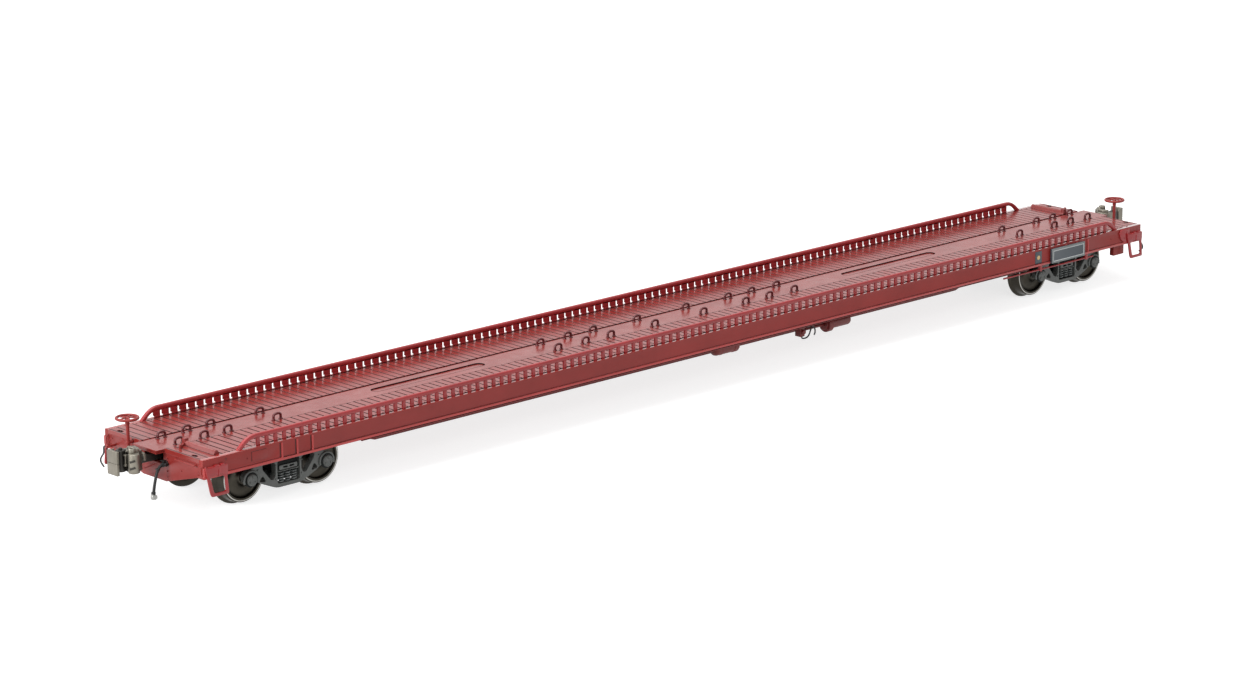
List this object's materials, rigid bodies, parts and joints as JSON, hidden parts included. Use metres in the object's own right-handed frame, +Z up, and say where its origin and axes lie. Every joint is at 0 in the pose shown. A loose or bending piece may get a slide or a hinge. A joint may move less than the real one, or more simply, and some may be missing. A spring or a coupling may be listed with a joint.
{
  "type": "scale-model trailer flatcar",
  "caption": "Scale-model long flat wagon with slotted side rails, tie-down loops, swivelling two-axle trucks, rolling wheelsets and swinging couplers with opening knuckles",
  "frame": {"origin": "centre of the wagon on the level of the wheel flange bottoms", "axes": "+X along the wagon to end B, +Y to the far side, +Z up"},
  "size_m": [0.2798, 0.0316, 0.0166],
  "materials": {
    "body_red": "satin body colour",
    "truck_plastic": "moulded dark grey",
    "wheel_metal": "blackened turned metal",
    "coupler_metal": "bare cast metal",
    "hose_black": "black",
    "wire_black": "satin black wire",
    "plate_grey": "blank grey plate"
  },
  "bodies": {
    "carbody": {"deck_near": "body_red", "deck_far": "body_red", "centre_strip": "body_red", "side_sill_near": "body_red", "side_sill_far": "body_red", "side_rail_near": "body_red", "side_rail_far": "body_red", "end_sill_a": "body_red", "end_sill_b": "body_red", "centre_sill": "body_red", "cross_bearers": "body_red", "body_bolster_a": "body_red", "body_bolster_b": "body_red", "king_pin_a": "coupler_metal", "king_pin_b": "coupler_metal", "tie_loops_a": "body_red", "tie_loops_mid": "body_red", "tie_loops_b": "body_red", "hinge_bar_a": "body_red", "hinge_bar_b": "body_red", "hand_brake_a": "body_red", "hand_brake_b": "body_red", "sill_steps": "body_red", "draft_box_a": "body_red", "draft_box_b": "body_red", "air_hose_a": "hose_black", "air_hose_b": "hose_black", "uncoupling_lever_a": "wire_black", "uncoupling_lever_b": "wire_black", "air_tank": "body_red", "brake_cylinder": "body_red", "control_valve": "body_red", "sill_rod_near": "body_red", "sill_rod_far": "body_red", "side_plate_near": "plate_grey", "side_plate_far": "plate_grey"},
    "truck_a": {"truck_frame_a": "truck_plastic", "bearing_caps_a": "truck_plastic", "truck_springs_a": "truck_plastic", "brake_beams_a": "truck_plastic"},
    "axle_a1": {"wheelset_a1": "wheel_metal"},
    "axle_a2": {"wheelset_a2": "wheel_metal"},
    "coupler_body_a": {"coupler_a": "coupler_metal"},
    "knuckle_body_a": {"knuckle_a": "coupler_metal"},
    "truck_b": {"truck_frame_b": "truck_plastic", "bearing_caps_b": "truck_plastic", "truck_springs_b": "truck_plastic", "brake_beams_b": "truck_plastic"},
    "axle_b1": {"wheelset_b1": "wheel_metal"},
    "axle_b2": {"wheelset_b2": "wheel_metal"},
    "coupler_body_b": {"coupler_b": "coupler_metal"},
    "knuckle_body_b": {"knuckle_b": "coupler_metal"}
  },
  "joints": [
    {"name": "truck_swivel_a", "type": "hinge", "parent": "carbody", "child": "truck_a", "pos_m": [-0.1095, 0, 0.0082], "axis": [0, 0, 1], "range_deg": [-12, 12]},
    {"name": "axle_turn_a1", "type": "hinge", "parent": "truck_a", "child": "axle_a1", "pos_m": [-0.1184, 0, 0.00545], "axis": [0, 1, 0], "continuous": true},
    {"name": "axle_turn_a2", "type": "hinge", "parent": "truck_a", "child": "axle_a2", "pos_m": [-0.1006, 0, 0.00545], "axis": [0, 1, 0], "continuous": true},
    {"name": "coupler_swing_a", "type": "hinge", "parent": "carbody", "child": "coupler_body_a", "pos_m": [-0.123, 0, 0.01035], "axis": [0, 0, 1], "range_deg": [-8, 8]},
    {"name": "knuckle_open_a", "type": "hinge", "parent": "coupler_body_a", "child": "knuckle_body_a", "pos_m": [-0.1373, 0.00175, 0.0105], "axis": [0, 0, 1], "range_deg": [-30, 0]},
    {"name": "truck_swivel_b", "type": "hinge", "parent": "carbody", "child": "truck_b", "pos_m": [0.1095, 0, 0.0082], "axis": [0, 0, 1], "range_deg": [-12, 12]},
    {"name": "axle_turn_b1", "type": "hinge", "parent": "truck_b", "child": "axle_b1", "pos_m": [0.1006, 0, 0.00545], "axis": [0, 1, 0], "continuous": true},
    {"name": "axle_turn_b2", "type": "hinge", "parent": "truck_b", "child": "axle_b2", "pos_m": [0.1184, 0, 0.00545], "axis": [0, 1, 0], "continuous": true},
    {"name": "coupler_swing_b", "type": "hinge", "parent": "carbody", "child": "coupler_body_b", "pos_m": [0.123, 0, 0.01035], "axis": [0, 0, 1], "range_deg": [-8, 8]},
    {"name": "knuckle_open_b", "type": "hinge", "parent": "coupler_body_b", "child": "knuckle_body_b", "pos_m": [0.1373, -0.00175, 0.0105], "axis": [0, 0, 1], "range_deg": [-30, 0]}
  ]
}
